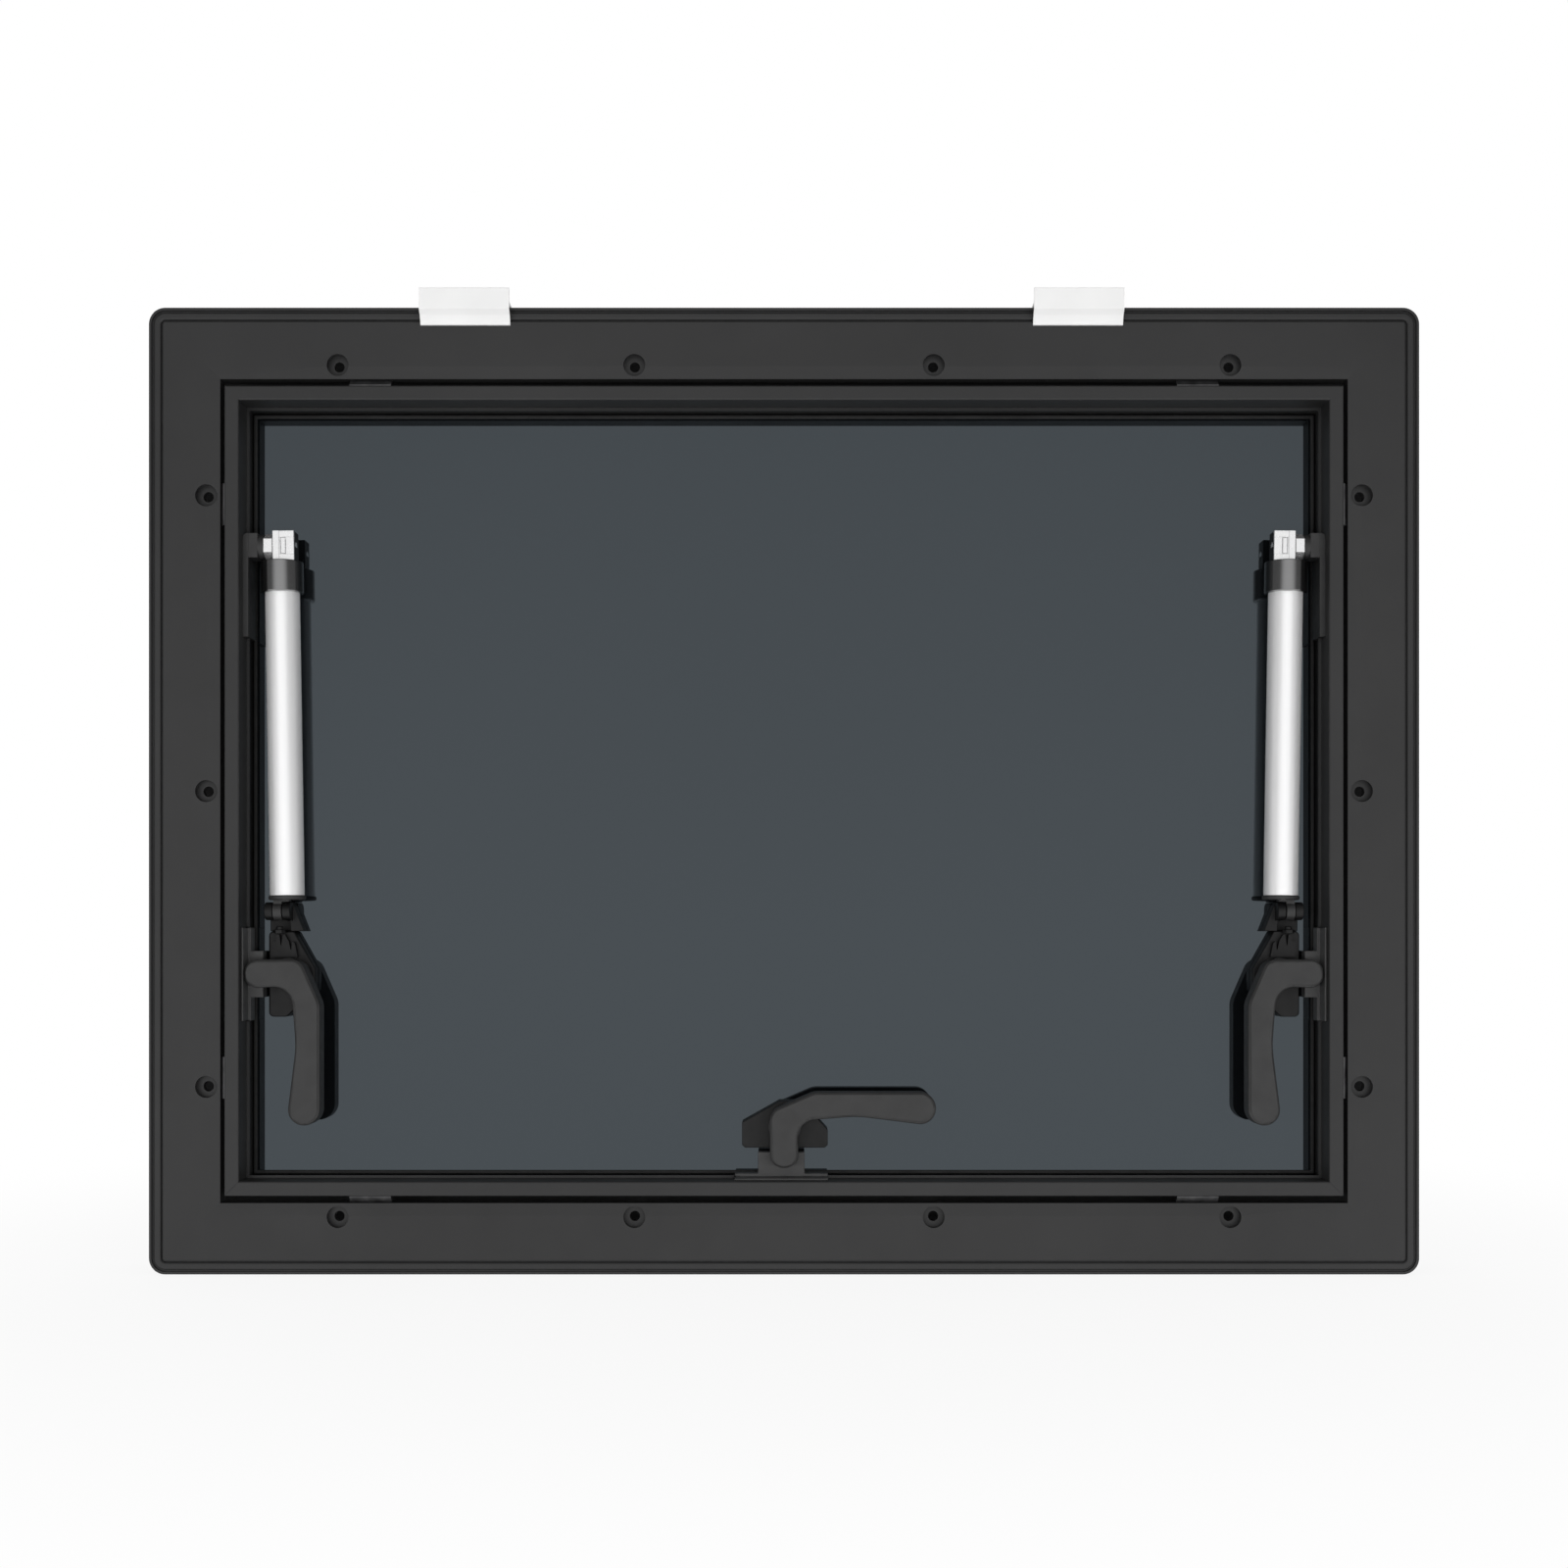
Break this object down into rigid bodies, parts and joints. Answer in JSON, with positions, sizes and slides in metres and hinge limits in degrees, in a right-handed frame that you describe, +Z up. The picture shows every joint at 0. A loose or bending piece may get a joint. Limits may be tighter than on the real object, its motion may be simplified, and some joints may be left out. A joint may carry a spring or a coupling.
{
  "type": "ventilation window",
  "caption": "Top-hung push-out camper window: double smoked pane in a mitred black frame with indoor clamp ring, telescopic side stays and turning latches.",
  "frame": {"origin": "on the outer flange's wall face, at the middle of its bottom strip", "axes": "+X to the right as seen from inside, +Y outdoors, +Z up"},
  "size_m": [0.7004, 0.0641, 0.5419],
  "materials": {
    "black_aluminium": "satin",
    "black_plastic": "satin",
    "smoked_acrylic": "gloss",
    "rubber": "matte",
    "bright_aluminium": "satin",
    "steel": "satin",
    "dark_steel": "satin",
    "white_plastic": "gloss"
  },
  "bodies": {
    "frame": {"outer_frame_top": "black_aluminium", "outer_frame_bottom": "black_aluminium", "outer_frame_left": "black_aluminium", "outer_frame_right": "black_aluminium", "inner_trim_top": "black_aluminium", "inner_trim_bottom": "black_aluminium", "inner_trim_left": "black_aluminium", "inner_trim_right": "black_aluminium", "trim_clips": "dark_steel", "outer_gasket": "rubber", "hinge_rail": "black_aluminium", "stay_bracket_left": "black_plastic", "stay_bolt_left": "steel", "edge_clip_left": "white_plastic", "stay_bracket_right": "black_plastic", "stay_bolt_right": "steel", "edge_clip_right": "white_plastic", "keeper_left": "black_plastic", "keeper_right": "black_plastic", "keeper_bottom": "black_plastic"},
    "sash": {"outer_pane": "smoked_acrylic", "inner_pane": "smoked_acrylic", "pane_spacer": "black_plastic", "sash_seal": "rubber", "hinge_bar": "black_aluminium", "latch_base_left": "black_plastic", "latch_base_right": "black_plastic", "latch_base_bottom": "black_plastic", "stay_foot_left": "black_plastic", "stay_foot_right": "black_plastic"},
    "left_handle": {"handle_left": "black_plastic"},
    "right_handle": {"handle_right": "black_plastic"},
    "bottom_handle": {"handle_bottom": "black_plastic"},
    "left_stay_tube": {"stay_clamp_left": "steel", "stay_cap_left": "black_plastic", "stay_tube_left": "bright_aluminium", "stay_end_left": "black_plastic"},
    "left_stay_rod": {"stay_rod_left": "steel"},
    "right_stay_tube": {"stay_clamp_right": "steel", "stay_cap_right": "black_plastic", "stay_tube_right": "bright_aluminium", "stay_end_right": "black_plastic"},
    "right_stay_rod": {"stay_rod_right": "steel"}
  },
  "joints": [
    {"name": "sash_hinge", "type": "hinge", "parent": "frame", "child": "sash", "pos_m": [0, 0.012, 0.472], "axis": [1, 0, 0], "range_deg": [0, 40]},
    {"name": "left_handle_turn", "type": "hinge", "parent": "sash", "child": "left_handle", "pos_m": [-0.2764, -0.031, 0.1409], "axis": [0, -1, 0], "range_deg": [0, 90]},
    {"name": "right_handle_turn", "type": "hinge", "parent": "sash", "child": "right_handle", "pos_m": [0.2764, -0.031, 0.1409], "axis": [0, 1, 0], "range_deg": [0, 90]},
    {"name": "bottom_handle_turn", "type": "hinge", "parent": "sash", "child": "bottom_handle", "pos_m": [0.0005, -0.031, 0.0558], "axis": [0, -1, 0], "range_deg": [0, 90]},
    {"name": "left_tube_pivot", "type": "hinge", "parent": "frame", "child": "left_stay_tube", "pos_m": [-0.28, -0.027, 0.3788], "axis": [1, 0, 0], "range_deg": [0, 53]},
    {"name": "left_rod_pivot", "type": "hinge", "parent": "sash", "child": "left_stay_rod", "pos_m": [-0.277, -0.026, 0.176], "axis": [1, 0, 0], "range_deg": [0, 13]},
    {"name": "right_tube_pivot", "type": "hinge", "parent": "frame", "child": "right_stay_tube", "pos_m": [0.28, -0.027, 0.3788], "axis": [1, 0, 0], "range_deg": [0, 53]},
    {"name": "right_rod_pivot", "type": "hinge", "parent": "sash", "child": "right_stay_rod", "pos_m": [0.277, -0.026, 0.176], "axis": [1, 0, 0], "range_deg": [0, 13]}
  ],
  "couplings": [
    {"joint": "left_tube_pivot", "follows": "sash_hinge", "ratio": 1.314},
    {"joint": "left_rod_pivot", "follows": "sash_hinge", "ratio": 0.314},
    {"joint": "right_tube_pivot", "follows": "sash_hinge", "ratio": 1.314},
    {"joint": "right_rod_pivot", "follows": "sash_hinge", "ratio": 0.314}
  ]
}
